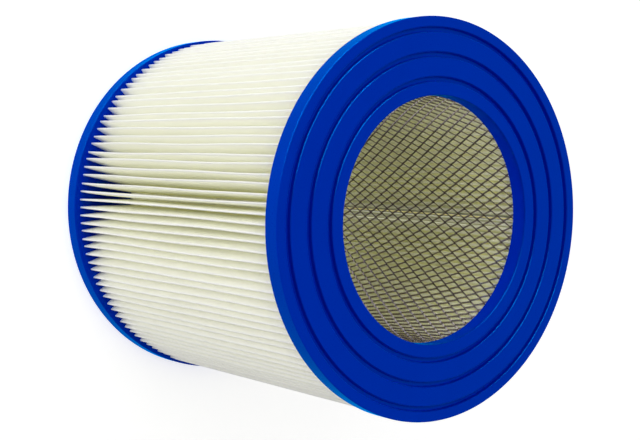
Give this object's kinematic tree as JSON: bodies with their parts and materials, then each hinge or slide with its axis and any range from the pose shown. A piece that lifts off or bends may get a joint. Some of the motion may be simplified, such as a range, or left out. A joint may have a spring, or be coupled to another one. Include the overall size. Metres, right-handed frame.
{
  "type": "pleated filter cartridge",
  "caption": "Round pleated filter cartridge with an expanded-metal core and a cast polyurethane cap on each end, open along its axis, for pool and spa water.",
  "frame": {"origin": "centre of the rear cap's outer face, which the cartridge stands on", "axes": "+Z along the cartridge's axis, from the rear cap to the front cap; +Y is the side that is uppermost in the picture"},
  "size_m": [0.25, 0.25, 0.252],
  "materials": {
    "cap_polyurethane": "satin, cast",
    "spunbond_polyester": "matte, translucent",
    "hot_melt_adhesive": "satin",
    "expanded_steel": "dull galvanised"
  },
  "bodies": {
    "root": {"rear_end_cap": "cap_polyurethane", "front_end_cap": "cap_polyurethane", "pleated_media": "spunbond_polyester", "seam_bead": "hot_melt_adhesive", "core_mesh": "expanded_steel"}
  },
  "joints": []
}
